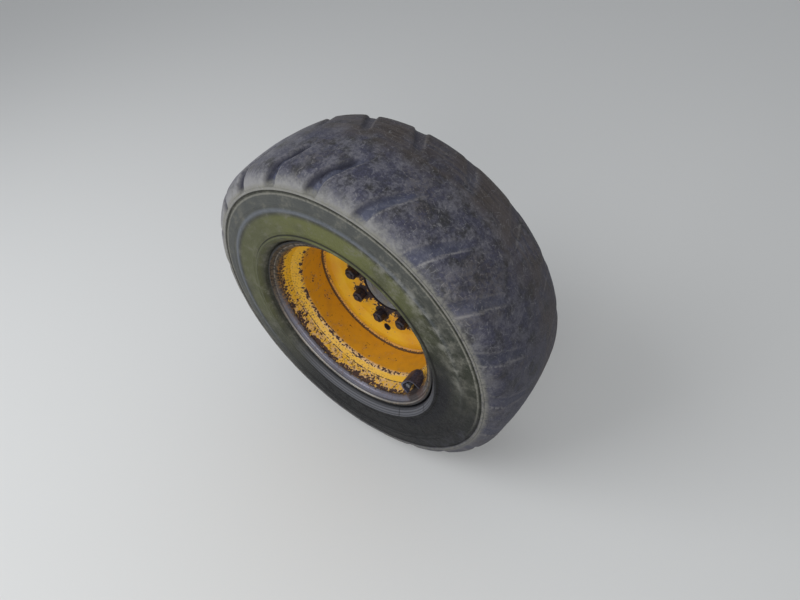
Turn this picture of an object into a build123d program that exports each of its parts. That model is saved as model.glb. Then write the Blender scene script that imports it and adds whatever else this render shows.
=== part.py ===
"""Skid steer loader wheel on its axle end.

A 10-16.5 tubeless tyre on a welded drop-centre rim, bolted with eight nuts to the flange of an
axle shaft, which turns on two tapered roller bearings in a cast housing. The housing's flange
bolts to the side of the machine.

Millimetres. The axle lies along Y, the wheel's outer face looks towards -Y, +X is the way the
machine drives and +Z is up. The origin is on the axle's centre line, in the housing's mounting
face.
"""

import os
from math import cos, radians, sin, tan

from build123d import *

os.makedirs("parts", exist_ok=True)

# rim: radii, and stations measured from the edge of the outer lip
rim_inside_width = 209.5
flange_depth = 13.0
flange_height = 13.0
flange_wall = 5.0
lip_edge = 4.0
seat_radius = 209.5
seat_width = 32.0
seat_angle = 15.0
well_depth = 25.5
slope_width = 17.0
rim_sheet = 6.0
flange_bend = 7.0
flange_foot_bend = 7.0
seat_heel_bend = 1.0
seat_bend = 8.0
well_bend = 10.0
lip_to_mount = 54.0

# disc
disc_station = 134.0
disc_dish = 8.0
disc_plate = 12.0
disc_margin = 20.0
disc_dish_width = 26.0
dish_bend = 20.0
weld_leg = 7.0
press_gap = 0.2
centre_bore_radius = 62.0
locating_hole_radius = 8.0
locating_hole_circle = 131.0
locating_hole_angle = 264.0

# wheel fixing
stud_count = 8
stud_circle_radius = 88.9
stud_first_angle = 30.6
stud_radius = 7.9
stud_hole_gap = 0.7
stud_reach = 5.0
stud_head_radius = 12.5
stud_head_height = 6.0
nut_flats = 27.0
nut_height = 20.0
nut_seat_depth = 5.0
nut_seat_radius = 12.0
nut_chamfer = 2.0
fixing_gap = 0.1

# tyre
tyre_radius = 388.0
shoulder_drop = 7.0
shoulder_inset = 30.0
shoulder_middle_drop = 21.0
ledge_drop = 46.0
ledge_proud = 12.0
ledge_step = 4.5
ledge_lip = 1.4
sidewall_proud = 14.5
rib_over_lip = 18.5
rib_proud = 16.0
rib_width = 5.0
rib_back = 1.5
rib_foot_over_lip = 5.5
rib_foot_proud = 5.0
lip_gap = 3.0
lip_tuck = 6.0
bead_face_drop = 5.0
bead_width = 28.0
bead_height = 22.0
bead_slant = 4.0
bead_gap = 0.2
tread_wall = 25.0
sidewall_wall = 10.0
cavity_rise = 20.0
cavity_corner = 30.0

# tread grooves between the lugs
lug_count = 21
groove_first_angle = 22.1
groove_width_out = 32.0
groove_width_in = 16.0
groove_sweep = 65.0
groove_reach = 83.0
groove_run_out = 13.0
groove_depth = 10.0
groove_shoulder_station = 3.0
cutter_over = 1.0
cutter_clear = 35.0

# tyre valve and its guard
valve_angle = -40.0
valve_radius = 4.0
valve_hole_radius = 7.9
valve_foot_radius = 10.0
valve_foot_height = 5.0
valve_foot_taper = 30.0
valve_seat_gap = 0.3
valve_rise = 13.0
valve_reach = 16.0
valve_bend = 7.0
valve_cap_radius = 6.0
valve_cap_height = 12.0
guard_width = 58.0
guard_height = 39.0
guard_length = 36.0
guard_plate = 4.0
guard_bend = 20.0
guard_station = 18.0

# axle shaft
hub_flange_margin = 21.1
hub_flange_thickness = 18.0
hub_flange_edge = 3.0
pilot_gap = 0.5
pilot_below_disc = 3.0
pilot_recess_radius = 42.0
pilot_recess_depth = 8.0
centre_hole_radius = 7.0
centre_hole_depth = 12.0
seal_journal_radius = 45.0
shaft_step = 1.2
shaft_run_out = 3.0
spline_teeth = 22
spline_tip_radius = 27.0
spline_root_radius = 24.4
spline_tooth = 4.8
spline_length = 50.0
spline_start = 36.0
shaft_chamfer = 2.0

# bearings: bore and outside radius, whole width and the widths of cup and cone, as bought
outer_bearing_bore = 32.5
outer_bearing_outside = 60.0
outer_bearing_width = 32.75
outer_cup_width = 27.0
outer_cone_width = 31.0
outer_roller_radius = 6.0
outer_roller_length = 18.0
inner_bearing_bore = 30.0
inner_bearing_outside = 55.0
inner_bearing_width = 29.75
inner_cup_width = 24.0
inner_cone_width = 28.0
inner_roller_radius = 5.5
inner_roller_length = 16.4
roller_count = 16
roller_angle = 13.0
roller_end_gap = 0.8
small_rib_height = 1.0
large_rib_height = 3.5
race_gap = 0.1
bearing_seat_gap = 0.05

# housing
hub_to_housing = 6.0
seal_width = 12.0
seal_gap = 0.1
seal_case = 3.0
seal_lip = 4.0
seal_lip_back = 8.4
seal_edge = 6.0
seal_to_bearing = 2.0
bearing_recess = 1.0
boss_wall = 13.0
boss_length = 50.0
boss_taper_length = 14.0
tube_bore_radius = 50.0
tube_wall = 9.0
casting_edge = 3.0
casting_bend = 8.0
mount_flange_margin = 16.0
mount_flange_thickness = 18.0
mount_bolt_count = 8
mount_bolt_circle_radius = 90.0
mount_bolt_hole_radius = 8.5
spigot_radius = 72.0
spigot_length = 14.0
rib_count = 4
rib_thickness = 10.0
rib_rim_gap = 8.0
bearing_nut_radius = 41.0
bearing_nut_width = 14.0
bearing_nut_slots = 4
bearing_nut_slot = 7.0

# stations along the axle
rim_width = rim_inside_width + 2 * flange_depth
lip_y = -(lip_to_mount + rim_width)
centre_y = lip_y + rim_width / 2
disc_front_y = lip_y + disc_station
bolt_face_y = disc_front_y + disc_dish
hub_face_y = bolt_face_y + disc_plate
hub_back_y = hub_face_y + hub_flange_thickness
housing_end_y = hub_back_y + hub_to_housing
outer_bearing_y = housing_end_y + seal_width + seal_to_bearing
inner_bearing_y = spigot_length - bearing_recess - inner_bearing_width
nut_y = inner_bearing_y + inner_bearing_width
lip_radius = seat_radius + flange_height
well_radius = seat_radius - well_depth
well_inside_radius = well_radius - rim_sheet
centre_plane = Plane.XZ.offset(-centre_y)


def at(radius, station):
    """A point of a section: its radius, and its distance inboard of the outer lip's edge."""
    return (radius, lip_y + station)


def finish(piece, name):
    """Names a finished piece and writes it."""
    piece.part.label = name
    export_step(piece.part, f"parts/{name}.step")


def turned(part, angle):
    """The part turned about the axle, from +X towards +Z."""
    return part.rotate(Axis.Y, -angle)


# tyre: half of its section is turned and mirrored, then the grooves are cut between the lugs
seat_fall = tan(radians(seat_angle))
bead_station = flange_depth + bead_gap
bead_radius = seat_radius + bead_gap
rib_radius = lip_radius + rib_over_lip
shoulder_radius = tyre_radius - shoulder_drop
shoulder_middle_radius = tyre_radius - shoulder_middle_drop
ledge_radius = tyre_radius - ledge_drop
ledge_foot_radius = ledge_radius - ledge_step
widest_radius = (rib_radius + ledge_foot_radius) / 2
cavity_radius = tyre_radius - tread_wall
cavity_station = sidewall_wall - sidewall_proud
crown_half_width = rim_width / 2 - shoulder_inset
crown_bend = (crown_half_width**2 + shoulder_drop**2) / (2 * shoulder_drop)

toe = at(bead_radius - bead_width * seat_fall, bead_station + bead_width)
rib_end = at(rib_radius + rib_width, rib_back - sidewall_proud)
ledge_foot = at(ledge_foot_radius, ledge_lip - ledge_proud)
ledge = at(ledge_radius, -ledge_proud)
shoulder = at(shoulder_radius, shoulder_inset)
crown = at(tyre_radius, rim_width / 2)
cavity_top = at(cavity_radius, rim_width / 2)

with BuildPart() as tyre:
    with BuildSketch(Plane.XY):
        with BuildLine():
            Polyline(
                toe,
                at(bead_radius, bead_station),
                at(lip_radius - bead_face_drop, bead_station),
                at(lip_radius + lip_gap, flange_depth - lip_tuck),
                at(lip_radius + rib_foot_over_lip, -rib_foot_proud),
                at(rib_radius - rib_width / 2, -rib_proud),
                at(rib_radius + rib_width / 2, -rib_proud),
                rib_end,
            )
            ThreePointArc(rib_end, at(widest_radius, -sidewall_proud), ledge_foot)
            Line(ledge_foot, ledge)
            ThreePointArc(ledge, at(shoulder_middle_radius, 0), shoulder)
            RadiusArc(shoulder, crown, -crown_bend)
            Line(crown, cavity_top)
            Polyline(
                cavity_top,
                at(cavity_radius, cavity_station + cavity_corner),
                at(cavity_radius - cavity_corner, cavity_station),
                at(rib_radius + cavity_rise, cavity_station),
                at(seat_radius + bead_height, bead_station + bead_width - bead_slant),
                toe,
            )
        make_face()
    revolve(axis=Axis.Y)
    mirror(about=centre_plane)

# one groove: its outline seen from above the tread, kept where it lies above the groove's floor
groove_start_y = lip_y - cutter_clear
groove_end_y = lip_y + groove_reach
cutter_top = tyre_radius + 2 * groove_depth

with BuildPart() as groove:
    with BuildSketch(Plane.YZ):
        with BuildLine():
            Polyline(
                (groove_start_y, -groove_width_out / 2),
                (groove_start_y, groove_width_out / 2),
                (groove_end_y, groove_width_in / 2 - groove_sweep),
                (groove_end_y, -groove_width_in / 2 - groove_sweep),
                close=True,
            )
        make_face()
    extrude(amount=cutter_top)
    with BuildSketch(Plane.XY):
        with BuildLine():
            Polyline(
                at(ledge_foot_radius + cutter_over, -ledge_proud - cutter_over),
                at(ledge_foot_radius + cutter_over, -2 * cutter_clear),
                at(cutter_top, -2 * cutter_clear),
                at(cutter_top, groove_reach + groove_run_out),
                at(tyre_radius + cutter_over, groove_reach + groove_run_out),
                at(shoulder_radius - groove_depth, shoulder_inset),
                at(shoulder_middle_radius - groove_depth, groove_shoulder_station),
                close=True,
            )
        make_face()
    revolve(axis=Axis.Y, mode=Mode.INTERSECT)

pitch = 360 / lug_count
outer_grooves = [turned(groove.part, groove_first_angle + pitch * k) for k in range(lug_count)]
inner_grooves = [
    turned(groove.part.mirror(centre_plane), groove_first_angle + pitch * (k + 0.5)) for k in range(lug_count)
]
with tyre:
    add(outer_grooves + inner_grooves, mode=Mode.SUBTRACT)
finish(tyre, "tyre")

# rim barrel: the tyre side of the section as a bent line, thickened inwards
slope_station = flange_depth + seat_width
well_station = slope_station + slope_width
seat_end_radius = seat_radius - seat_width * seat_fall
half_section = [
    at(lip_radius, 0),
    at(lip_radius, lip_edge),
    at(seat_radius + flange_wall, flange_depth),
    at(seat_radius, flange_depth),
    at(seat_end_radius, slope_station),
    at(well_radius, well_station),
]
half_bends = [flange_bend, flange_foot_bend, seat_heel_bend, seat_bend, well_bend]
mirrored = [(radius, 2 * centre_y - y) for radius, y in reversed(half_section)]

# the valve stands square on the slope, half way along it, and points inwards and outboard
slope_start = Vector(*at(seat_end_radius, slope_station))
slope_end = Vector(*at(well_radius, well_station))
slope_direction = (slope_end - slope_start).normalized()
slope_normal = Vector(-slope_direction.Y, slope_direction.X)
valve_foot = (slope_start + slope_end) * 0.5
valve_plane = Plane(origin=valve_foot, x_dir=(0, 0, 1), z_dir=slope_normal)

with BuildPart() as valve_hole:
    with BuildSketch(valve_plane):
        Circle(valve_hole_radius)
    extrude(amount=2 * rim_sheet, both=True)

with BuildPart() as rim_barrel:
    with BuildSketch(Plane.XY):
        with BuildLine():
            FilletPolyline(*half_section, *mirrored, radius=half_bends + half_bends[::-1])
            offset(amount=rim_sheet, side=Side.LEFT)
        make_face()
    revolve(axis=Axis.Y)

# the space inside the barrel, which trims what is welded to it
with BuildPart() as barrel_space:
    with BuildSketch(Plane.XZ.offset(-lip_y)):
        Circle(lip_radius)
    extrude(amount=-rim_width)
    add(rim_barrel.part, mode=Mode.SUBTRACT)
barrel_inside = barrel_space.solids().sort_by(SortBy.VOLUME)[-1]

with rim_barrel:
    add(turned(valve_hole.part, valve_angle), mode=Mode.SUBTRACT)
finish(rim_barrel, "rim_barrel")

# disc: a dished plate inside the well, with the stud holes countersunk for the nuts
disc_radius = well_inside_radius - press_gap
dish_radius = disc_radius - disc_margin
stud_hole_radius = stud_radius + stud_hole_gap
stud_angles = [stud_first_angle + 360 / stud_count * k for k in range(stud_count)]
stud_plane = Plane(origin=(stud_circle_radius, bolt_face_y, 0), x_dir=(1, 0, 0), z_dir=(0, -1, 0))

with BuildPart() as stud_hole:
    with BuildSketch(stud_plane):
        Circle(stud_hole_radius)
    extrude(amount=-disc_plate)
    with BuildSketch(stud_plane):
        Circle(nut_seat_radius + fixing_gap)
    with BuildSketch(stud_plane.offset(-nut_seat_depth)):
        Circle(stud_hole_radius)
    loft()

with BuildPart() as wheel_disc:
    with BuildSketch(Plane.XY):
        with BuildLine():
            FilletPolyline(
                at(disc_radius, disc_station),
                at(dish_radius, disc_station),
                at(dish_radius - disc_dish_width, disc_station + disc_dish),
                at(centre_bore_radius, disc_station + disc_dish),
                radius=dish_bend,
            )
            offset(amount=disc_plate, side=Side.RIGHT)
        make_face()
    revolve(axis=Axis.Y)
    add([turned(stud_hole.part, angle) for angle in stud_angles], mode=Mode.SUBTRACT)
    with BuildSketch(Plane.XZ.offset(-disc_front_y)):
        with PolarLocations(locating_hole_circle, 1, start_angle=locating_hole_angle):
            Circle(locating_hole_radius)
    extrude(amount=-2 * disc_plate, mode=Mode.SUBTRACT)
finish(wheel_disc, "wheel_disc")

# the weld that joins disc and barrel
with BuildPart() as disc_weld:
    with BuildSketch(Plane.XY):
        with BuildLine():
            weld_outer = at(disc_radius, disc_station - weld_leg)
            weld_inner = at(disc_radius - weld_leg, disc_station)
            weld_root = at(disc_radius, disc_station)
            RadiusArc(weld_outer, weld_inner, 2 * weld_leg)
            Polyline(weld_inner, weld_root, weld_outer)
        make_face()
    revolve(axis=Axis.Y)
finish(disc_weld, "disc_weld")

# nuts and studs: one of each is made, and copied round the circle
with BuildPart() as nut:
    with BuildSketch(stud_plane.offset(-nut_seat_depth)):
        RegularPolygon(nut_flats / 2, 6, major_radius=False)
    extrude(amount=nut_seat_depth + nut_height)
    nut_corner_radius = nut_flats / 2 / cos(radians(30))
    with BuildSketch(Plane(origin=stud_plane.origin, x_dir=(1, 0, 0), z_dir=(0, 0, 1))):
        Polygon(
            (0, nut_seat_depth),
            (stud_hole_radius, nut_seat_depth),
            (nut_seat_radius, 0),
            (nut_corner_radius, 0),
            (nut_corner_radius, nut_chamfer - nut_height),
            (nut_flats / 2 - nut_chamfer, -nut_height),
            (0, -nut_height),
            align=None,
        )
    revolve(axis=Axis(stud_plane.origin, (0, 1, 0)), mode=Mode.INTERSECT)
    with BuildSketch(stud_plane.offset(nut_height)):
        Circle(stud_radius + fixing_gap)
    extrude(amount=-nut_height - nut_seat_depth, mode=Mode.SUBTRACT)

with BuildPart() as wheel_nuts:
    add([turned(nut.part, angle) for angle in stud_angles])
finish(wheel_nuts, "wheel_nuts")

with BuildPart() as stud:
    stud_length = nut_height + stud_reach + disc_plate + hub_flange_thickness
    with BuildSketch(stud_plane.offset(nut_height + stud_reach)):
        Circle(stud_radius)
    extrude(amount=-stud_length)
    chamfer(stud.edges().group_by(Axis.Y)[0], nut_chamfer / 2)
    with BuildSketch(stud_plane.offset(-disc_plate - hub_flange_thickness)):
        Circle(stud_head_radius)
    extrude(amount=-stud_head_height)

with BuildPart() as wheel_studs:
    add([turned(stud.part, angle) for angle in stud_angles])
finish(wheel_studs, "wheel_studs")

# valve: a bent stem on a rubber foot, its cap, and the arched guard welded over it
stem_turn = valve_foot + slope_normal * valve_rise
stem_end = stem_turn - Vector(0, valve_reach)

with BuildPart() as valve_stem:
    with BuildSketch(valve_plane.offset(-valve_foot_height)):
        Circle(valve_foot_radius)
    extrude(amount=valve_foot_height)
    with BuildSketch(valve_plane):
        Circle(valve_hole_radius - press_gap)
    extrude(amount=rim_sheet + valve_seat_gap)
    with BuildSketch(valve_plane.offset(rim_sheet + valve_seat_gap)):
        Circle(valve_foot_radius)
    extrude(amount=valve_foot_height, taper=valve_foot_taper)
    with BuildLine():
        FilletPolyline(valve_foot + slope_normal * rim_sheet, stem_turn, stem_end, radius=valve_bend)
    with BuildSketch(valve_plane.offset(rim_sheet)):
        Circle(valve_radius)
    sweep()
valve_stem.part = turned(valve_stem.part, valve_angle)
finish(valve_stem, "valve_stem")

cap_plane = Plane(origin=stem_end - Vector(0, press_gap), x_dir=(1, 0, 0), z_dir=(0, -1, 0))
with BuildPart() as valve_cap:
    with BuildSketch(cap_plane):
        Circle(valve_cap_radius)
    extrude(amount=valve_cap_height)
    chamfer(valve_cap.edges().group_by(Axis.Y)[0], 1.0)
valve_cap.part = turned(valve_cap.part, valve_angle)
finish(valve_cap, "valve_cap")

with BuildPart() as valve_guard:
    with BuildSketch(Plane.XZ.offset(-lip_y - guard_station)):
        with BuildLine():
            foot_radius = seat_radius
            top_radius = seat_radius - guard_height
            FilletPolyline(
                (foot_radius, -guard_width / 2),
                (top_radius, -guard_width / 2),
                (top_radius, guard_width / 2),
                (foot_radius, guard_width / 2),
                radius=guard_bend,
            )
            offset(amount=guard_plate, side=Side.RIGHT)
        make_face()
    extrude(amount=-guard_length)
    add(barrel_inside, mode=Mode.INTERSECT)
valve_guard.part = turned(valve_guard.part, valve_angle)
finish(valve_guard, "valve_guard")

# axle shaft: flange and journals turned, then the stud holes and the spline
shaft_end_y = spline_start + spline_length
hub_flange_radius = stud_circle_radius + hub_flange_margin
pilot_radius = centre_bore_radius - pilot_gap
with BuildPart() as axle_shaft:
    pilot_y = bolt_face_y + pilot_below_disc
    recess_y = pilot_y + pilot_recess_depth
    thread_end_y = nut_y + bearing_nut_width + shaft_run_out
    with BuildSketch(Plane.XY):
        Polygon(
            (0, recess_y + centre_hole_depth),
            (centre_hole_radius, recess_y),
            (pilot_recess_radius, recess_y),
            (pilot_recess_radius + pilot_recess_depth / 2, pilot_y),
            (pilot_radius - shaft_chamfer, pilot_y),
            (pilot_radius, pilot_y + shaft_chamfer),
            (pilot_radius, hub_face_y),
            (hub_flange_radius - hub_flange_edge, hub_face_y),
            (hub_flange_radius, hub_face_y + hub_flange_edge),
            (hub_flange_radius, hub_back_y - hub_flange_edge),
            (hub_flange_radius - hub_flange_edge, hub_back_y),
            (seal_journal_radius + hub_to_housing / 2, hub_back_y),
            (seal_journal_radius, hub_back_y + hub_to_housing / 2),
            (seal_journal_radius, outer_bearing_y),
            (outer_bearing_bore, outer_bearing_y),
            (outer_bearing_bore, outer_bearing_y + outer_bearing_width + shaft_run_out),
            (inner_bearing_bore + shaft_step, outer_bearing_y + outer_bearing_width + 2 * shaft_run_out),
            (inner_bearing_bore + shaft_step, inner_bearing_y - 2 * shaft_run_out),
            (inner_bearing_bore, inner_bearing_y - shaft_run_out),
            (inner_bearing_bore, thread_end_y),
            (spline_root_radius, thread_end_y + shaft_run_out),
            (spline_root_radius, shaft_end_y - shaft_chamfer),
            (spline_root_radius - shaft_chamfer, shaft_end_y),
            (centre_hole_radius, shaft_end_y),
            (0, shaft_end_y - centre_hole_depth),
            align=None,
        )
    revolve(axis=Axis.Y)
    with BuildSketch(Plane.XZ.offset(-hub_face_y)):
        with PolarLocations(stud_circle_radius, stud_count, start_angle=stud_first_angle):
            Circle(stud_radius + fixing_gap)
    extrude(amount=-hub_flange_thickness, mode=Mode.SUBTRACT)
    with BuildSketch(Plane.XZ.offset(-spline_start)):
        with PolarLocations(0, spline_teeth):
            with BuildLine():
                Polyline(
                    (spline_root_radius - shaft_step, -spline_tooth / 2),
                    (spline_tip_radius, -spline_tooth / 3),
                    (spline_tip_radius, spline_tooth / 3),
                    (spline_root_radius - shaft_step, spline_tooth / 2),
                    close=True,
                )
            make_face()
    extrude(amount=-(spline_length - shaft_chamfer))
finish(axle_shaft, "axle_shaft")


class Bearing:
    """A tapered roller bearing from its bought sizes. big_end is the way its large ends face, -1 or +1."""

    def __init__(self, name, start_y, big_end, bore, outside, width):
        self.name = name
        self.big_end = big_end
        self.width = width
        self.middle_y = start_y + width / 2
        self.middle_radius = (bore + outside) / 2
        self.cone_radius = bore + bearing_seat_gap
        self.cup_radius = outside - bearing_seat_gap
        self.lean = radians(roller_angle)

    def corner(self, radius, along):
        """A point of a section, along being measured from the middle towards the large ends."""
        return (radius, self.middle_y + self.big_end * along)

    def race(self, distance, along):
        """A point that lies square to the rollers' axis line, at a distance from it."""
        return self.corner(self.middle_radius + distance / cos(self.lean) + along * tan(self.lean), along)

    def make(self, cup_width, cone_width, roller_radius, roller_length):
        """Writes the cup, the cone and the rollers."""
        outer = roller_radius + race_gap
        inner = -roller_radius - bearing_seat_gap
        cup_back = -self.width / 2
        cup_front = cup_back + cup_width
        with BuildPart() as cup:
            with BuildSketch(Plane.XY):
                Polygon(
                    self.corner(self.cup_radius, cup_back),
                    self.race(outer, cup_back),
                    self.race(outer, cup_front),
                    self.corner(self.cup_radius, cup_front),
                    align=None,
                )
            revolve(axis=Axis.Y)
        finish(cup, f"{self.name}_cup")

        cone_back = self.width / 2
        cone_front = cone_back - cone_width
        reach = roller_length / 2 * cos(self.lean)
        small_end = roller_radius * sin(self.lean) - reach - roller_end_gap
        large_end = roller_radius * sin(self.lean) + reach + bearing_seat_gap
        small_rib = self.race(inner, small_end)[0] + small_rib_height
        large_rib = self.race(inner, large_end)[0] + large_rib_height
        with BuildPart() as cone:
            with BuildSketch(Plane.XY):
                Polygon(
                    self.corner(self.cone_radius, cone_front),
                    self.corner(small_rib, cone_front),
                    self.corner(small_rib, small_end),
                    self.race(inner, small_end),
                    self.race(inner, large_end),
                    self.corner(large_rib, large_end),
                    self.corner(large_rib, cone_back),
                    self.corner(self.cone_radius, cone_back),
                    align=None,
                )
            revolve(axis=Axis.Y)
        finish(cone, f"{self.name}_cone")

        roller_plane = Plane(
            origin=Vector(self.middle_radius, self.middle_y),
            x_dir=(0, 0, 1),
            z_dir=Vector(sin(self.lean), self.big_end * cos(self.lean)),
        )
        with BuildPart() as roller:
            with BuildSketch(roller_plane):
                Circle(roller_radius)
            extrude(amount=roller_length / 2, both=True)
        with BuildPart() as rollers:
            add([turned(roller.part, 360 / roller_count * k) for k in range(roller_count)])
        finish(rollers, f"{self.name}_rollers")


outer_bearing = Bearing(
    "outer_bearing", outer_bearing_y, -1, outer_bearing_bore, outer_bearing_outside, outer_bearing_width
)
outer_bearing.make(outer_cup_width, outer_cone_width, outer_roller_radius, outer_roller_length)
inner_bearing = Bearing(
    "inner_bearing", inner_bearing_y, 1, inner_bearing_bore, inner_bearing_outside, inner_bearing_width
)
inner_bearing.make(inner_cup_width, inner_cone_width, inner_roller_radius, inner_roller_length)

# slotted nut that holds the inner bearing on the shaft
with BuildPart() as bearing_nut:
    with BuildSketch(Plane.XZ.offset(-nut_y - bearing_seat_gap)):
        Circle(bearing_nut_radius)
        Circle(inner_bearing_bore + fixing_gap, mode=Mode.SUBTRACT)
        with PolarLocations(bearing_nut_radius, bearing_nut_slots):
            Rectangle(bearing_nut_slot, bearing_nut_slot, mode=Mode.SUBTRACT)
    extrude(amount=-bearing_nut_width)
finish(bearing_nut, "bearing_nut")

# oil seal in the outer end of the housing: a case and a lip on the shaft's journal
with BuildPart() as oil_seal:
    seal_outside = outer_bearing_outside - bearing_seat_gap
    seal_inside = seal_journal_radius + seal_gap
    with BuildSketch(Plane.XY):
        Polygon(
            (seal_outside, housing_end_y),
            (seal_outside, housing_end_y + seal_width),
            (seal_outside - seal_case, housing_end_y + seal_width),
            (seal_outside - seal_case, housing_end_y + seal_case),
            (seal_inside + seal_lip, housing_end_y + seal_case),
            (seal_inside + seal_lip, housing_end_y + seal_lip_back),
            (seal_inside, housing_end_y + seal_edge),
            (seal_inside + seal_lip / 2, housing_end_y),
            align=None,
        )
    revolve(axis=Axis.Y)
finish(oil_seal, "oil_seal")

# housing: a cast tube with a bearing boss at its outer end and a ribbed flange at its inner end
boss_radius = outer_bearing_outside + boss_wall
tube_radius = tube_bore_radius + tube_wall
boss_end_y = housing_end_y + boss_length
mount_flange_radius = mount_bolt_circle_radius + mount_flange_margin
with BuildPart() as axle_housing:
    with BuildSketch(Plane.XY):
        with BuildLine():
            FilletPolyline(
                (outer_bearing_outside, housing_end_y),
                (boss_radius, housing_end_y),
                (boss_radius, boss_end_y),
                (tube_radius, boss_end_y + boss_taper_length),
                (tube_radius, -mount_flange_thickness),
                (mount_flange_radius, -mount_flange_thickness),
                (mount_flange_radius, 0),
                radius=[casting_edge, casting_bend, casting_bend, casting_bend, casting_edge],
            )
            Polyline(
                (mount_flange_radius, 0),
                (spigot_radius, 0),
                (spigot_radius, spigot_length - shaft_chamfer),
                (spigot_radius - shaft_chamfer, spigot_length),
                (inner_bearing_outside, spigot_length),
                (inner_bearing_outside, inner_bearing_y),
                (tube_bore_radius, inner_bearing_y),
                (tube_bore_radius, outer_bearing_y + outer_bearing_width),
                (outer_bearing_outside, outer_bearing_y + outer_bearing_width),
                (outer_bearing_outside, housing_end_y),
            )
        make_face()
    revolve(axis=Axis.Y)
    with BuildSketch(Plane.XZ):
        half_step = 180 / mount_bolt_count
        with PolarLocations(mount_bolt_circle_radius, mount_bolt_count, start_angle=half_step):
            Circle(mount_bolt_hole_radius)
    extrude(amount=mount_flange_thickness, mode=Mode.SUBTRACT)

with BuildPart() as rib:
    with BuildSketch(Plane.XY):
        Polygon(
            (tube_radius - casting_edge, -mount_flange_thickness),
            (mount_flange_radius - rib_rim_gap, -mount_flange_thickness),
            (boss_radius - casting_edge, boss_end_y + boss_taper_length / 2),
            (tube_radius - casting_edge, boss_end_y + boss_taper_length / 2),
            align=None,
        )
    extrude(amount=rib_thickness / 2, both=True)

with axle_housing:
    add([turned(rib.part, 360 / rib_count * k) for k in range(rib_count)])
finish(axle_housing, "axle_housing")
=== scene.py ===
# %% [markdown]
# A loader wheel on its axle end: the looks
#
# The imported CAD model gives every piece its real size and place. This file dresses it: the worn
# tyre, the chipped yellow rim, the greasy nuts and the cast axle end behind them. It is written as
# a lesson in cells. Each cell says first what the piece is on the real wheel, and then builds it
# with Blender's own modelling operators.
#
# The axle lies along Y, the wheel's outer face looks towards -Y, +Z is up, and all sizes are in
# millimetres, turned into metres by MM where Blender needs them.

# %% The frame, and the stations that every piece is measured from
import cmath
import math

import bpy
from mathutils import Matrix, Vector


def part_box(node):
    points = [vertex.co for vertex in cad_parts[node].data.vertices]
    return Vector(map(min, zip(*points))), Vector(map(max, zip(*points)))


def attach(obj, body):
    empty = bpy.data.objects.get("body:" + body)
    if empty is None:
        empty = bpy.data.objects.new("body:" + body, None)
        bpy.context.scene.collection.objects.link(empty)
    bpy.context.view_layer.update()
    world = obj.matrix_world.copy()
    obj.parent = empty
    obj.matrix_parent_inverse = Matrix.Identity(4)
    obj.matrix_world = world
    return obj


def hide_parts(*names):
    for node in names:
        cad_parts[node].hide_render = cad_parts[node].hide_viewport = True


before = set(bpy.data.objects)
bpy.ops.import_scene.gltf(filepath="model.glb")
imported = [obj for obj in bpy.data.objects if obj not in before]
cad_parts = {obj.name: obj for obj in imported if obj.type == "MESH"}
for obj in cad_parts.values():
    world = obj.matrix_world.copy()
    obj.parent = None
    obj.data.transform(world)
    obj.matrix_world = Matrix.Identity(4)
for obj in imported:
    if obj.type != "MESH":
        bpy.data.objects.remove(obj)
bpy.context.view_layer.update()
MM = 0.001

rim_low, rim_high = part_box("rim_barrel")
tyre_low, tyre_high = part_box("tyre")
lip_y = rim_low.y / MM
rim_width = (rim_high.y - rim_low.y) / MM
lip_radius = rim_high.z / MM
tyre_radius = tyre_high.z / MM
middle = rim_width / 2
print(f"outer lip at y {lip_y:.1f}, rim {rim_width:.1f} wide, lip radius {lip_radius:.1f}")
print(f"tyre radius {tyre_radius:.1f}")

# %% [markdown]
# Camera, floor and light
#
# The photograph was taken standing, from in front of the wheel and above it, with a wide lens held
# a little askew. Matching the wheel's circles to a camera gave its place, its turn, its tilt and
# its roll. The camera is made first, because every later choice of detail is judged through it.
#
# The wheel stood in open shade, with the sky in front of it. So the light is soft: a plain bright
# world, a very large lamp in front to the left for the sky, and a second one in front to the
# right, which reaches into the dish of the rim.

# %% The camera
camera_place = (631.5, -797.2, 839.6)
camera_turn = 42.33
camera_tilt = 44.12
camera_roll = -8.23
focal_pixels = 544.9
picture_width = 800
sensor_width = 36.0

camera_data = bpy.data.cameras.new("camera")
camera_data.sensor_width = sensor_width
camera_data.lens = focal_pixels / picture_width * sensor_width
camera = bpy.data.objects.new("camera", camera_data)
bpy.context.scene.collection.objects.link(camera)
camera.matrix_world = (
    Matrix.Translation(Vector(camera_place) * MM)
    @ Matrix.Rotation(math.radians(camera_turn), 4, "Z")
    @ Matrix.Rotation(math.radians(90 - camera_tilt), 4, "X")
    @ Matrix.Rotation(math.radians(camera_roll), 4, "Z")
)
bpy.context.scene.camera = camera
print(f"camera: a {camera_data.lens:.1f} mm lens, looking down by {camera_tilt:.0f} degrees")


# %% The floor and the world
def deselect():
    """Leaves object mode with nothing selected."""
    if bpy.context.object and bpy.context.object.mode != "OBJECT":
        bpy.ops.object.mode_set(mode="OBJECT")
    bpy.ops.object.select_all(action="DESELECT")


floor_size = 14000
deselect()
bpy.ops.mesh.primitive_plane_add(size=floor_size * MM, location=(0, 0, tyre_low.z))
floor = bpy.context.object
floor.name = "floor"
print(f"floor: {floor_size} mm wide, at the foot of the tyre")

sky_colour = (0.93, 0.96, 1.0, 1)
sky_strength = 0.45
world = bpy.data.worlds.new("world")
bpy.context.scene.world = world
world.use_nodes = True
sky = world.node_tree.nodes["Background"]
sky.inputs["Color"].default_value = sky_colour
sky.inputs["Strength"].default_value = sky_strength
bpy.context.scene.view_settings.view_transform = "Standard"


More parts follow.
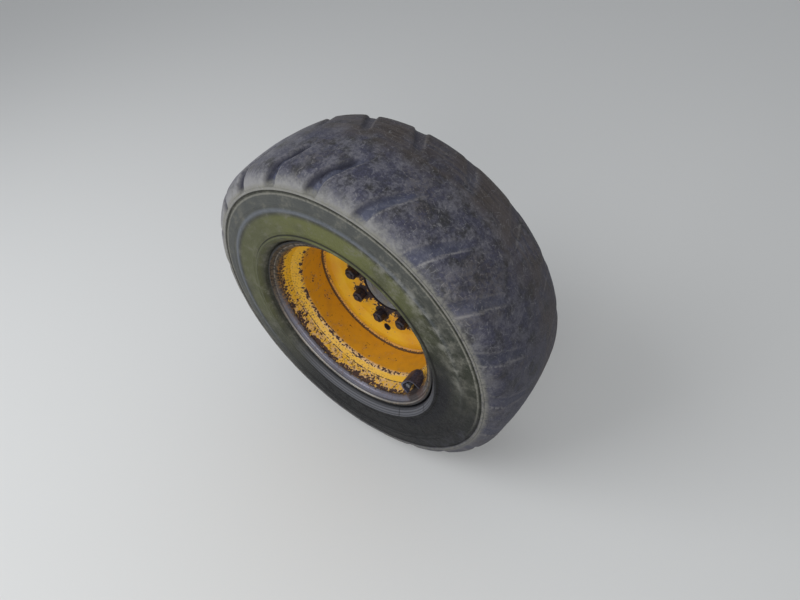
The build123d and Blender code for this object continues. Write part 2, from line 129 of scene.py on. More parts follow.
# %% The lamps
def lamp(name, place, size, watts, colour):
    """A square area lamp that looks at the wheel's outer face."""
    data = bpy.data.lights.new(name, "AREA")
    data.size = size * MM
    data.energy = watts
    data.color = colour
    made = bpy.data.objects.new(name, data)
    bpy.context.scene.collection.objects.link(made)
    made.location = Vector(place) * MM
    aim = Vector(wheel_face) - Vector(place)
    made.rotation_euler = aim.to_track_quat("-Z", "Y").to_euler()
    print(f"{name}: {watts} W, {aim.length:.0f} mm from the wheel")


wheel_face = (0, -200, 0)
lamp("sky_lamp", place=(-1700, -2300, 2500), size=2400, watts=64, colour=(0.96, 0.98, 1.0))
lamp("front_lamp", place=(1300, -3000, 1000), size=2000, watts=40, colour=(1.0, 0.99, 0.96))

# %% [markdown]
# Shader maths as Python
#
# A finish is mostly sums: this much noise, times that band round the rim, cut off at some level.
# Wiring Math nodes by hand hides those sums. The class below wraps one socket of a material, so
# that an expression such as 1 - dust * 0.5 adds the Math nodes by itself. Every other node comes
# from one method, Finish.node, which takes the node's type, its settings and its inputs.
#
# The alternative is an image painted on the piece. It would need a UV map for each piece, it would
# have one fixed sharpness, and it couldn't be read or changed here.


# %% One socket that can be added and multiplied
class Sum:
    """A socket of a material, used in Python expressions."""

    def __init__(self, finish, socket):
        self.finish = finish
        self.socket = socket

    def maths(self, operation, *values):
        return self.finish.node("ShaderNodeMath", {"operation": operation}, dict(enumerate(values)))

    def __add__(self, other):
        return self.maths("ADD", self, other)

    __radd__ = __add__

    def __sub__(self, other):
        return self.maths("SUBTRACT", self, other)

    def __rsub__(self, other):
        return self.maths("SUBTRACT", other, self)

    def __mul__(self, other):
        return self.maths("MULTIPLY", self, other)

    __rmul__ = __mul__

    def __truediv__(self, other):
        return self.maths("DIVIDE", self, other)

    def __pow__(self, other):
        return self.maths("POWER", self, other)

    def sine(self):
        return self.maths("SINE", self)

    def cosine(self):
        return self.maths("COSINE", self)

    def larger(self, other):
        return self.maths("MAXIMUM", self, other)

    def smaller(self, other):
        return self.maths("MINIMUM", self, other)

    def step(self, low, high, start=0.0, end=1.0):
        """Smoothly start below low and end above high."""
        return self.finish.node(
            "ShaderNodeMapRange",
            {"interpolation_type": "SMOOTHSTEP"},
            {"Value": self, "From Min": low, "From Max": high, "To Min": start, "To Max": end},
        )

    def falls(self, low, high):
        """Smoothly one below low and nothing above high."""
        return self.step(low, high, 1.0, 0.0)

    def band(self, low, high, soft):
        """One between low and high, fading to nothing over soft on each side."""
        return self.step(low - soft, low + soft) * self.falls(high - soft, high + soft)


# %% A material under construction
class Finish:
    """A material that is being built, node by node."""

    def __init__(self, name):
        self.material = bpy.data.materials.new(name)
        self.material.use_nodes = True
        self.tree = self.material.node_tree
        self.tree.nodes.clear()
        self.place = self.node("ShaderNodeTexCoord", out="Object")

    def node(self, kind, settings=None, inputs=None, out=0):
        """Adds a node. settings are set first, then the values or links of its sockets."""
        made = self.tree.nodes.new(kind)
        for key, value in (settings or {}).items():
            setattr(made, key, value)
        for key, value in (inputs or {}).items():
            socket = made.inputs[key]
            if isinstance(value, Sum):
                self.tree.links.new(value.socket, socket)
            elif socket.type == "RGBA":
                socket.default_value = (*value, 1)
            else:
                socket.default_value = value
        return Sum(self, made.outputs[out]) if made.outputs else None

    def mix(self, first, second, factor):
        """Colour first, turning into colour second where factor is one."""
        return self.node(
            "ShaderNodeMix",
            {"data_type": "RGBA", "clamp_factor": True},
            {"Factor": factor, 6: first, 7: second},
            out=2,
        )

    def bump(self, height, distance):
        """A normal from a height of 0 to 1 that stands for distance millimetres."""
        inputs = {"Height": height, "Distance": distance * MM, "Strength": 1.0}
        return self.node("ShaderNodeBump", None, inputs)

    def surface(self, colour, roughness, metallic=0.0, normal=None, specular=0.5):
        """Ends the material in one Principled shader and returns the material."""
        inputs = {"Base Color": colour, "Roughness": roughness, "Metallic": metallic}
        inputs["Specular IOR Level"] = specular
        if normal is not None:
            inputs["Normal"] = normal
        shader = self.node("ShaderNodeBsdfPrincipled", None, inputs)
        self.node("ShaderNodeOutputMaterial", None, {"Surface": shader})
        print(f"{self.material.name}: {len(self.tree.nodes)} nodes")
        return self.material

    def so_far(self, part):
        """Prints how many nodes there are, once a part of the material is done."""
        print(f"{self.material.name}, {part}: {len(self.tree.nodes)} nodes")


# %% What the wheel's finishes read
class WheelFinish(Finish):
    """A finish that knows noise, and the place on the wheel."""

    def noise(self, size, detail=3.0, rough=0.55):
        """Cloudy noise from 0 to 1, whose lumps are about size millimetres."""
        return self.node(
            "ShaderNodeTexNoise",
            None,
            {"Vector": self.place, "Scale": 1 / (size * MM), "Detail": detail, "Roughness": rough},
        )

    def streaks(self, across, angle, width, turns):
        """Noise drawn out round the axle: width millimetres across, and turns lumps along."""
        vector = self.node(
            "ShaderNodeCombineXYZ",
            None,
            {"X": across / width, "Y": angle.cosine() * turns, "Z": angle.sine() * turns},
        )
        return self.node("ShaderNodeTexNoise", None, {"Vector": vector, "Scale": 1.0, "Detail": 4.0})

    def edges(self, size):
        """Distance from the nearest border of an irregular net with meshes size millimetres wide."""
        scale = 1 / (size * MM)
        reach = (0.6 * size * MM,) * 3
        bend = self.node(
            "ShaderNodeTexNoise", None, {"Vector": self.place, "Scale": scale, "Detail": 2.0}, out=1
        )
        vector = self.node(
            "ShaderNodeVectorMath", {"operation": "MULTIPLY_ADD"}, {0: bend, 1: reach, 2: self.place}
        )
        return self.node(
            "ShaderNodeTexVoronoi", {"feature": "DISTANCE_TO_EDGE"}, {"Vector": vector, "Scale": scale}
        )

    def own(self, name):
        """A value that the piece's mesh carries on its points."""
        return self.node("ShaderNodeAttribute", {"attribute_name": name}, out=2)

    def axes(self):
        """The place's x, y and z, in metres."""
        split = self.node("ShaderNodeSeparateXYZ", None, {"Vector": self.place}).socket.node
        return [Sum(self, socket) for socket in split.outputs]

    def round_axle(self):
        """Radius, station from the outer lip and angle round the axle: millimetres and radians."""
        x, y, z = self.axes()
        radius = (x * x + z * z) ** 0.5 / MM
        station = y / MM - lip_y
        return radius, station, z.maths("ARCTAN2", z, x)

    def facing(self, angle, degrees):
        """One on the side of the wheel that lies at degrees, minus one on the opposite side."""
        return (angle - math.radians(degrees)).cosine()

    def near(self, place):
        """Distance from a line along the axle through place, in millimetres."""
        x, y, z = self.axes()
        return ((x - place.x) ** 2 + (z - place.z) ** 2) ** 0.5 / MM


# %% The floor's finish
floor_grey = (0.72, 0.72, 0.71)
floor.data.materials.append(Finish("pale_floor").surface(floor_grey, roughness=0.9))

# %% [markdown]
# Sections that are turned about the axle
#
# Almost everything on a wheel is turned: its section is a line, and the line swept round the axle
# is the piece. By hand this is one vertex, extruded along the section, and then Spin. The helpers
# below do the same. A section is a list of points (radius, station), in millimetres, where the
# station runs inboard from the edge of the outer lip.
#
# A cylinder with loop cuts would give the same rings, but each bend would have to be pushed into
# place by hand. Rounded corners and arcs are drawn once in the section, and turn with it.


# %% Drawing a section
def arc(first, through, last, count):
    """Points, count steps apart, on the circle through three points, both ends included."""
    a, b, c = complex(*first), complex(*through), complex(*last)
    ratio = (c - a) / (b - a)
    centre = a - (a - b) * (ratio - abs(ratio) ** 2) / (2j * ratio.imag)
    turn = cmath.phase((c - centre) / (a - centre))
    spots = [centre + (a - centre) * cmath.rect(1, turn * i / count) for i in range(count + 1)]
    return [(spot.real, spot.imag) for spot in spots]


def bent(corners, bends, count=4):
    """The line through corners, with each inner corner rounded to its own bend radius."""
    line = [corners[0]]
    for before, corner, after, bend in zip(corners, corners[1:], corners[2:], bends):
        back = (Vector(before) - Vector(corner)).normalized()
        ahead = (Vector(after) - Vector(corner)).normalized()
        half = back.angle(ahead) / 2
        reach = bend / math.tan(half)
        middle_of_bend = Vector(corner) + (back + ahead).normalized() * bend * (1 / math.sin(half) - 1)
        line += arc(Vector(corner) + back * reach, middle_of_bend, Vector(corner) + ahead * reach, count)
    return line + [corners[-1]]


def mirrored(line):
    """The same line on the inboard half of the wheel, run through backwards."""
    return [(radius, rim_width - station) for radius, station in reversed(line)]


def placed(radius, station, turn=0.0):
    """A point of a section in space, in metres, turned about the axle from +X towards +Z."""
    return Vector((radius * math.cos(turn), lip_y + station, radius * math.sin(turn))) * MM


# %% Selecting, merging and modifying
merge_distance = 0.01 * MM


def select_only(piece):
    """Leaves the piece selected and active, and nothing else."""
    deselect()
    piece.select_set(True)
    bpy.context.view_layer.objects.active = piece


def modify(piece, kind, **settings):
    """Adds a modifier and applies it."""
    select_only(piece)
    modifier = piece.modifiers.new(kind.lower(), kind)
    for key, value in settings.items():
        setattr(modifier, key, value)
    bpy.ops.object.modifier_apply(modifier=modifier.name)


def merge_doubles():
    """Merges the points of the piece in edit mode that lie in one place, and leaves all selected."""
    bpy.ops.mesh.select_all(action="SELECT")
    bpy.ops.mesh.remove_doubles(threshold=merge_distance)


def face_outwards(piece):
    """Points all faces outwards, leaves edit mode and prints how many there are."""
    bpy.ops.mesh.normals_make_consistent(inside=False)
    bpy.ops.object.mode_set(mode="OBJECT")
    print(f"{piece.name}: {len(piece.data.polygons)} faces")


def smooth(piece, degrees):
    """Shades the piece smooth, with edges sharper than degrees kept sharp."""
    select_only(piece)
    bpy.ops.object.shade_smooth_by_angle(angle=math.radians(degrees))


# %% From a section to a turned piece
def chain(name, points):
    """Extrudes one vertex from point to point, and leaves the new piece in edit mode."""
    deselect()
    bpy.ops.mesh.primitive_plane_add(size=MM)
    piece = bpy.context.object
    piece.name = name
    piece.data.name = name
    bpy.ops.object.mode_set(mode="EDIT")
    bpy.ops.mesh.merge(type="CENTER")
    bpy.ops.transform.translate(value=points[0])
    for before, after in zip(points, points[1:]):
        bpy.ops.mesh.extrude_region_move(TRANSFORM_OT_translate={"value": after - before})
    return piece


def spin(piece, steps, centre):
    """Turns the section into a closed ring about a line along Y, and leaves edit mode."""
    merge_doubles()
    bpy.ops.mesh.spin(steps=steps, angle=2 * math.pi, center=centre, axis=(0, 1, 0))
    merge_doubles()
    face_outwards(piece)


def screw(piece, steps):
    """Turns the section about the axle with the Screw modifier, which is Spin's quick brother."""
    merge_doubles()
    bpy.ops.object.mode_set(mode="OBJECT")
    modify(
        piece,
        "SCREW",
        axis="Y",
        angle=2 * math.pi,
        steps=steps,
        render_steps=steps,
        use_merge_vertices=True,
        merge_threshold=merge_distance,
    )
    bpy.ops.object.mode_set(mode="EDIT")
    bpy.ops.mesh.select_all(action="SELECT")
    face_outwards(piece)


# %% What a piece stands for
def stands_for(piece, node):
    """Lets the piece replace a CAD node of the wheel, and turn with the wheel."""
    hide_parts(node)
    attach(piece, "wheel")


# %% Pressing a pattern into a piece
def keep(piece, name, share):
    """Stores share(radius, station, angle) of every point under a name that a material can read."""
    values = []
    for vertex in piece.data.vertices:
        x, y, z = vertex.co / MM
        values.append(share(math.hypot(x, z), y - lip_y, math.atan2(z, x)))
    piece.data.attributes.new(name, "FLOAT", "POINT").data.foreach_set("value", values)
    return values


def press_in(piece, name, depth, share):
    """Moves the surface inwards by depth times share(radius, station, angle), along its normals."""
    group = piece.vertex_groups.new(name="pressed")
    for number, amount in enumerate(keep(piece, name, share)):
        if amount > 0:
            group.add([number], min(amount, 1.0), "REPLACE")
    modify(piece, "DISPLACE", strength=-depth * MM, mid_level=0.0, vertex_group="pressed")
    piece.vertex_groups.clear()


def ramp(value, low, high):
    """Smoothly 0 below low and 1 above high. low may be the larger of the two."""
    share = min(max((value - low) / (high - low), 0.0), 1.0)
    return share * share * (3 - 2 * share)


# %% [markdown]
# The tyre casing
#
# A used tyre on a rim: thick beads that grip the lips, a rib that shields the rim, a round
# sidewall with a few fine moulded rings, a double line where sidewall and tread meet, and a
# broad worn tread. Its section has one twist: from the shoulder to the middle of the tread the
# points are turned about the axle by the lean of the lugs. The turned section then has rows of
# faces that run along the grooves, so the grooves can be pressed in with clean edges.
#
# The tyre is one closed body, because its inside shows in the exported meshes. It replaces the
# CAD tyre, whose section it follows. Cutting the grooves with Boolean would leave long thin faces
# that shade badly; here every face stays a small four-sided one.

# %% The tyre's section
flange_depth = 13.0
bead_radius = 209.7
bead_station = 13.2
bead_width = 28.0
seat_fall = math.tan(math.radians(15))
lip_gap = 3.0
rib_radius = lip_radius + 18.5
rib_proud = 16.0
rib_width = 5.0
sidewall_proud = 14.5
ledge_radius = tyre_radius - 46.0
ledge_proud = 12.0
ledge_step = 4.5
ledge_lip = 1.4
shoulder_radius = tyre_radius - 7.0
shoulder_middle_radius = tyre_radius - 21.0
shoulder_inset = 30.0
cavity_radius = tyre_radius - 25.0
cavity_station = -4.5
cavity_top = 333.0
cavity_bottom = 261.0
cavity_heel = (231.7, 37.2)
sidewall_step = 8.0

toe = (bead_radius - bead_width * seat_fall, bead_station + bead_width)
rib_end = (rib_radius + rib_width, 1.5 - sidewall_proud)
ledge_foot = (ledge_radius - ledge_step, ledge_lip - ledge_proud)
shoulder = (shoulder_radius, shoulder_inset)
crown = (tyre_radius, middle)
print(f"radii: rib {rib_radius:.1f}, ledge {ledge_radius:.1f}, shoulder {shoulder_radius:.1f}")

# %% From the bead to the widest part of the sidewall
bead = bent(
    [
        toe,
        (bead_radius, bead_station),
        (lip_radius - 5, bead_station),
        (lip_radius + lip_gap, flange_depth - 6),
        (lip_radius + 5.5, -5),
        (rib_radius - rib_width / 2, -rib_proud),
        (rib_radius + rib_width / 2, -rib_proud),
        rib_end,
    ],
    bends=[1.5, 2.5, 2.5, 4, 1.2, 1.2],
    count=2,
)
widest = ((rib_radius + ledge_foot[0]) / 2, -sidewall_proud)
sidewall = arc(rib_end, widest, ledge_foot, round((ledge_foot[0] - rib_end[0]) / sidewall_step))


def with_ring(line, radius, half_width, height):
    """The sidewall's line with one rounded moulded ring on it."""
    below = [point for point in line if point[0] < radius - half_width - 0.5]
    above = [point for point in line if point[0] > radius + half_width + 0.5]
    fall = (above[0][1] - below[-1][1]) / (above[0][0] - below[-1][0])
    ring = []
    for place, rise in ((-1, 0), (-0.5, 0.6), (0, 1), (0.5, 0.6), (1, 0)):
        along = radius + place * half_width
        ring.append((along, below[-1][1] + (along - below[-1][0]) * fall - rise * height))
    return below + ring + above


moulded_rings = [
    # radius, half width, height
    (253, 1.6, 0.6),
    (300, 5.0, 1.9),
    (312, 1.6, 0.6),
]
for ring_radius, ring_half_width, ring_height in moulded_rings:
    sidewall = with_ring(sidewall, ring_radius, ring_half_width, ring_height)
print(f"sidewall: {len(sidewall)} points, {len(moulded_rings)} moulded rings")

# %% The ledge, the shoulder, the crown and the air space
ledge_groove_floor = 2.2 - ledge_proud
ledge_line = [
    (ledge_radius - 3.6, ledge_groove_floor),
    (ledge_radius - 2.2, ledge_groove_floor),
    (ledge_radius - 1, -ledge_proud),
]
shoulder_arc = arc((ledge_radius + 3, -ledge_proud), (shoulder_middle_radius, 0), shoulder, 9)
crown_drop = (tyre_radius - shoulder_radius) / 4
crown_arc = arc(shoulder, (tyre_radius - crown_drop, (shoulder_inset + middle) / 2), crown, 11)
outside = bead + sidewall[1:] + ledge_line + shoulder_arc + crown_arc[1:]
inside = bent(
    [
        (cavity_radius, middle),
        (cavity_radius, shoulder_inset - 4.5),
        (cavity_top, cavity_station),
        (cavity_bottom, cavity_station),
        cavity_heel,
        toe,
    ],
    bends=[12, 12, 12, 6],
    count=1,
)
section = outside + mirrored(outside)[1:] + mirrored(inside)[1:] + inside[1:]
print(f"tyre section: {len(section)} points")

# %% The twist of the rows, and the spin
lug_count = 21
rows_per_lug = 32
pitch = 2 * math.pi / lug_count
lean_round_tread = 65.0
lean_across_tread = 118.0
lean_per_mm = lean_round_tread / lean_across_tread / tyre_radius


def twist(radius, station):
    """How far the lugs have leant back at a point, as an angle. It is zero below the tread."""
    along = min(station, rim_width - station) + ledge_proud
    return -lean_per_mm * along if radius >= ledge_radius and along > 0 else 0.0


outside_count = 2 * len(outside) - 1
twisted = [
    placed(radius, station, twist(radius, station) if number < outside_count else 0.0)
    for number, (radius, station) in enumerate(section)
]
casing = chain("tyre_casing", twisted + twisted[:1])
screw(casing, lug_count * rows_per_lug)

# %% [markdown]
# Lugs, wear and sag of the rubber
#
# The grooves between the lugs start at the shoulder line, lean back as they climb the tread, and
# run out before its middle. They alternate from side to side. The tyre is half worn, unevenly:
# over about a third of its round the grooves are still deep, and elsewhere a fifth of that depth
# is left. A vertex group holds how deep each point lies, and a Displace modifier presses it in.
#
# Sculpting would do it too, but a share worked out from the place gives all grooves one form, and
# the same share serves the finish: it says where the floors lie, where shade is painted in their
# corners and which edges are rubbed bright.

# %% Where the grooves run
groove_depth = 11.5
groove_half_start = 14.0
groove_half_end = 8.0
groove_end = 84.0
groove_run_out = 22.0
groove_rise = 16.0
groove_edge = 4.0
edge_line_width = 2.2
first_groove = math.radians(20.1)
fresh_side = math.radians(122)
worn_share = 0.2
inboard_share = 0.45


def near_groove(radius, station, angle):
    """Distance across from the nearest groove's middle, its half width there, and its strength."""
    inboard = station > middle
    along = rim_width - station if inboard else station
    start = first_groove + pitch / 2 * inboard
    from_groove = (angle - twist(radius, station) - start + pitch / 2) % pitch - pitch / 2
    half_width = groove_half_start + (groove_half_end - groove_half_start) * max(along, 0) / groove_end
    strength = ramp(along, groove_end + 4, groove_end - groove_run_out)
    strength *= ramp(radius, ledge_radius, ledge_radius + groove_rise)
    if inboard:
        strength *= inboard_share
    return from_groove * radius, half_width, strength


# %% What is pressed in, and what the finish reads
def freshness(angle):
    """One where the tyre is least worn, less on the other side of it."""
    return worn_share + (1 - worn_share) * ramp(math.cos(angle - fresh_side), 0.45, 0.85)


def groove_share(radius, station, angle):
    """How much of the full groove depth a point of the tread gets."""
    across, half_width, strength = near_groove(radius, station, angle)
    wall = ramp(abs(across), half_width + groove_edge, half_width - groove_edge)
    return wall * strength * freshness(angle)


def groove_floor(radius, station, angle):
    """Where the rubber is shielded from rubbing: the floor of a groove."""
    across, half_width, strength = near_groove(radius, station, angle)
    return ramp(abs(across), half_width + 1, half_width - 3) * strength


def groove_shade(radius, station, angle):
    """Where shade is painted: in the corner of a groove, under the wall that leans over it."""
    across, half_width, strength = near_groove(radius, station, angle)
    corner = ramp(across, 0.0, 0.6 * half_width)
    wall = ramp(across, half_width + groove_edge, half_width - groove_edge)
    return wall * corner * strength * freshness(angle)


def lug_edge(radius, station, angle):
    """Where a lug's edge rubs: a thin line beside the groove, mostly on its open side."""
    across, half_width, strength = near_groove(radius, station, angle)
    lead = math.exp(-(((across + half_width + 2) / edge_line_width) ** 2))
    trail = math.exp(-(((across - half_width - 3) / edge_line_width) ** 2))
    return (lead + 0.3 * trail) * strength


# %% The grooves pressed in
for share in (groove_floor, groove_shade, lug_edge):
    keep(casing, share.__name__, share)
press_in(casing, "groove_share", groove_depth, groove_share)
print(f"grooves: {2 * lug_count}, {groove_depth} mm deep on the fresh side")

# %% The uneven wear of the tread
wear_depth = 1.1
wear_size = 55.0
wear_clouds = bpy.data.textures.new("wear_clouds", "CLOUDS")
wear_clouds.noise_scale = wear_size * MM
wear_clouds.noise_depth = 2
worn_group = casing.vertex_groups.new(name="worn")
for vertex in casing.data.vertices:
    if math.hypot(vertex.co.x, vertex.co.z) > (ledge_radius + 6) * MM:
        worn_group.add([vertex.index], 1.0, "REPLACE")
print(f"worn by up to {wear_depth} mm, in patches of about {wear_size:.0f} mm")
modify(
    casing,
    "DISPLACE",
    texture=wear_clouds,
    texture_coords="LOCAL",
    strength=-wear_depth * MM,
    mid_level=0.0,
    vertex_group="worn",
)
casing.vertex_groups.clear()
smooth(casing, 40)
stands_for(casing, "tyre")

# %% [markdown]
# The rim barrel
#
# The rim is rolled from one flat sheet: a lip that holds the tyre, a seat for the bead, and a
# slope down to the well, which lets the bead slip over the lip when the tyre is mounted. So it is
# made here as a sheet too: the line of its tyre side, spun, and then given its thickness inwards.
# A bevel rounds the cut edges of the lips. A closed section would need its inner line drawn as
# well, and the two would have to be kept one sheet apart at each bend.

# %% The rolled sheet
sheet = 6.0
seat_radius = lip_radius - 13.0
seat_width = 32.0
slope_width = 17.0
well_radius = seat_radius - 25.5
slope_station = flange_depth + seat_width
well_station = slope_station + slope_width
lip_bevel = 1.4
rim_steps = 288
half_rim = bent(
    [
        (lip_radius, 0),
        (lip_radius, 4),
        (seat_radius + 5, flange_depth),
        (seat_radius, flange_depth),
        (seat_radius - seat_width * seat_fall, slope_station),
        (well_radius, well_station),
        (well_radius, middle),
    ],
    bends=[7, 7, 1, 8, 10],
)
rim_line = half_rim + mirrored(half_rim)[1:]
barrel = chain("rim_barrel_sheet", [placed(*point) for point in rim_line])
screw(barrel, rim_steps)
modify(barrel, "SOLIDIFY", thickness=sheet * MM, offset=-1.0, use_even_offset=True)
cut_edges = math.radians(50)
modify(barrel, "BEVEL", width=lip_bevel * MM, segments=3, limit_method="ANGLE", angle_limit=cut_edges)
smooth(barrel, 40)
stands_for(barrel, "rim_barrel")

# %% [markdown]
# The weld between disc and barrel
#
# One bead of weld runs round the disc. A machine laid it, so its ripples are even. The bead is a
# spun arc, and the ripples are pressed in with a cosine of the angle. A row of small overlapping
# lumps would look the same, but its faces would cut through each other.

# %% The weld bead
weld_leg = 7.0
weld_throat = weld_leg * 0.42
weld_steps = 720
ripple_count = 180
ripple_depth = 0.9
disc_station = 134.0
disc_radius = well_radius - sheet - 0.2
weld_line = arc(
    (disc_radius, disc_station - weld_leg),
    (disc_radius - weld_throat, disc_station - weld_throat),
    (disc_radius - weld_leg, disc_station),
    8,
)
weld_root = (disc_radius, disc_station)
weld = chain("weld_bead", [placed(*point) for point in (weld_root, *weld_line, weld_root)])
screw(weld, weld_steps)


def ripple(radius, station, angle):
    """Waves along the weld's face. The side that touches the barrel stays smooth."""
    return 0.5 + 0.5 * math.cos(ripple_count * angle) if radius < disc_radius - 0.5 else 0.0


press_in(weld, "ripples", ripple_depth, ripple)
smooth(weld, 60)
stands_for(weld, "disc_weld")

# %% [markdown]
# Wheel nuts and studs
#
# Eight nuts with a cone seat hold the disc. Years of sockets have rounded their corners, so each
# is a six-sided prism whose top is drawn in, and all edges are bevelled before one level of
# subdivision. The studs end just proud of the nuts, and their thread shows there. One nut and one
# stud are made, and copied round the circle. A stud's thread is drawn as rings, not as a helix: at
# this size the difference can't be seen, and rings come from the same spin.

# %% One nut
stud_count = 8
stud_circle = 88.9
stud_first = math.radians(30.6)
disc_dish = 8.0
bolt_station = disc_station + disc_dish
nut_flats = 27.0
nut_height = 20.0
nut_draw = 2.6
nut_rise = nut_draw * 0.6
nut_bevel = 1.3
thread_wall = 0.8
thread_mouth = 2.5
stud_radius = 7.9
nut_corner = nut_flats / 2 / math.cos(math.radians(30))

deselect()
bpy.ops.mesh.primitive_cylinder_add(vertices=6, radius=nut_corner * MM, depth=nut_height * MM)
nut = bpy.context.object
bpy.ops.object.mode_set(mode="EDIT")
bpy.ops.mesh.select_all(action="DESELECT")
bpy.ops.object.mode_set(mode="OBJECT")
for face in nut.data.polygons:
    face.select = face.normal.z > 0.9
bpy.ops.object.mode_set(mode="EDIT")
bpy.ops.mesh.inset(thickness=nut_draw * MM)
bpy.ops.transform.translate(value=(0, 0, nut_rise * MM))
bpy.ops.mesh.inset(thickness=(nut_flats / 2 - nut_draw - stud_radius - thread_wall) * MM)
bpy.ops.mesh.extrude_region_move(TRANSFORM_OT_translate={"value": (0, 0, -thread_mouth * MM)})
bpy.ops.object.mode_set(mode="OBJECT")
nut_edges = math.radians(20)
modify(nut, "BEVEL", width=nut_bevel * MM, segments=2, limit_method="ANGLE", angle_limit=nut_edges)
modify(nut, "SUBSURF", levels=1, render_levels=1)
print(f"nut: {nut.dimensions.z / MM:.1f} mm high")


# %% The nut stood on its seat, and its copies
def stand_on_disc(piece, station):
    """Turns a piece made along Z so that its foot looks inboard, and moves it to the first stud."""
    select_only(piece)
    piece.matrix_world = (
        Matrix.Translation(placed(stud_circle, station, stud_first))
        @ Matrix.Rotation(math.radians(90), 4, "X")
        @ Matrix.Rotation(stud_first, 4, "Z")
    )
    bpy.ops.object.transform_apply(location=True, rotation=True, scale=True)


def copies_round_axle(piece, name, node):
    for number in range(stud_count):
        copy = piece if number == 0 else piece.copy()
        if number:
            copy.data = piece.data.copy()
            bpy.context.scene.collection.objects.link(copy)
            copy.data.transform(Matrix.Rotation(-2 * math.pi * number / stud_count, 4, "Y"))
        copy.name = f"{name}_{number + 1}"
        stands_for(copy, node)
        fasteners.append(copy)
    print(f"{name}: {stud_count} copies")


fasteners = []
stand_on_disc(nut, bolt_station - nut_height / 2)
smooth(nut, 50)
copies_round_axle(nut, "wheel_nut", "wheel_nuts")

# %% One stud, with its rolled thread
stud_reach = 5.0
disc_plate = 12.0
hub_thickness = 18.0
head_radius = 12.5
head_height = 6.0
thread_pitch = 1.5
thread_depth = 0.9
thread_turns = 5
thread_crest = 0.2
end_chamfer = 1.2
stud_steps = 28
stud_top = bolt_station - nut_height - stud_reach
stud_back = bolt_station + disc_plate + hub_thickness
thread = []
for turn_number in range(thread_turns):
    thread_station = stud_top + end_chamfer + turn_number * thread_pitch
    thread += [
        (stud_radius, thread_station + thread_crest),
        (stud_radius - thread_depth, thread_station + thread_pitch / 2),
        (stud_radius, thread_station + thread_pitch - thread_crest),
    ]
stud_line = [
    (0, stud_top),
    (stud_radius - end_chamfer, stud_top),
    *thread,
    (stud_radius, stud_back),
    (head_radius, stud_back),
    (head_radius, stud_back + head_height - 1),
    (head_radius - 1, stud_back + head_height),
    (0, stud_back + head_height),
]
print(f"stud: {stud_back + head_height - stud_top:.1f} mm long")

# %% The stud turned, and its copies
stud_axis = placed(stud_circle, 0, stud_first)
stud_points = [
    Vector((stud_axis.x + radius * MM, (lip_y + station) * MM, stud_axis.z))
    for radius, station in stud_line
]
stud = chain("stud", stud_points)
spin(stud, stud_steps, centre=stud_axis)
smooth(stud, 30)
copies_round_axle(stud, "wheel_stud", "wheel_studs")

# %% [markdown]
# The finish of each piece
#
# What is left is colour and wear, and some painted light and shade. All finishes read the place on
# the piece itself: the radius, the station and the angle round the axle say where dirt gathers,
# where paint chips first, where the tread has rubbed and where light or shade is painted. Noise
# then breaks those bands up, so that nothing looks ruled. Degrees run round the axle as seen with
# +X to the right: 90 is the top of the wheel, and -90 its foot.

# %% [markdown]
# Worn rubber
#
# An old tyre is grey, not black. Dust lies on it, most of all on the rough ends of the lugs and
# along the shoulder, and green grows on the upper half of the sidewall. Shade is painted in: the
# sidewall darkens towards its foot and on its right, the creases and the corners of the grooves are
# darker, and a shadow lies across the top of the inboard tread. Painted light sits on the moulded
# ring and, with dust, on the upper-left lugs. The colour is built up coat by coat, from what covers
# most to what covers least, in the order in which the dirt came. A single noise would read as a
# pattern, so each kind of dirt has clouds of its own size, and a side of the wheel on which it lies.

# %% Clouds and sides of the tyre
rubber = WheelFinish("worn_rubber")
radius, station, angle = rubber.round_axle()
broad = rubber.noise(85, 2)
cloudy = rubber.noise(26, 5, 0.62)
fine = rubber.noise(6, 5, 0.66)
grain = rubber.noise(1.3, 3, 0.6)
specks = rubber.noise(3.8, 3, 0.7).step(0.4, 0.62)
high_side = rubber.facing(angle, 125).step(-0.5, 0.7)
low_side = rubber.facing(angle, -70).step(0.05, 0.8)
right_side = rubber.facing(angle, 5).step(0.2, 0.9)
mossy_side = rubber.facing(angle, 62).step(0.3, 0.95)
fresh = rubber.facing(angle, 118).step(0.2, 0.8)
rubber.so_far("clouds and sides")

# %% Sidewall: bare rubber in two greys, with painted shade on the right
side_dark = (0.04, 0.041, 0.033)
side_light = (0.08, 0.081, 0.065)
speck_black = (0.03, 0.03, 0.027)
right_shade_black = (0.024, 0.027, 0.018)
line_black = (0.02, 0.02, 0.016)
outer_grey = (0.086, 0.091, 0.093)

side = rubber.mix(side_dark, side_light, cloudy.step(0.36, 0.64) * 0.7 + broad * 0.3)
side = rubber.mix(side, speck_black, (1 - specks) * 0.45)
# Painted shade: the sidewall is darker on the right of the wheel, apart from a few lighter clouds.
right_shade = right_side * (1 - cloudy.step(0.42, 0.56) * 0.9)
side = rubber.mix(side, right_shade_black, right_shade * 0.85)
side_lines = rubber.streaks(radius, angle, width=3.5, turns=3.0)
side = rubber.mix(side, line_black, side_lines.step(0.5, 0.64) * 0.35)
outer_band = radius.band(306, 333, 4) * high_side
side = rubber.mix(side, outer_grey, outer_band * 0.55)
rubber.so_far("sidewall greys")

# %% Sidewall: moss, dust, and a painted highlight on the ring
moss_green = (0.125, 0.132, 0.045)
side_dust_grey = (0.17, 0.165, 0.14)
ring_highlight_blue = (0.15, 0.165, 0.195)
streak_pale = (0.26, 0.255, 0.225)

moss = radius.band(231, 290, 6) * high_side * (0.45 + broad.step(0.34, 0.56) * 0.55)
side = rubber.mix(side, moss_green, moss * (0.4 + mossy_side * 0.38))
side_dust = (fine * 0.5 + cloudy * 0.5).step(0.51, 0.62)
side = rubber.mix(side, side_dust_grey, side_dust * (0.45 - low_side * 0.44))
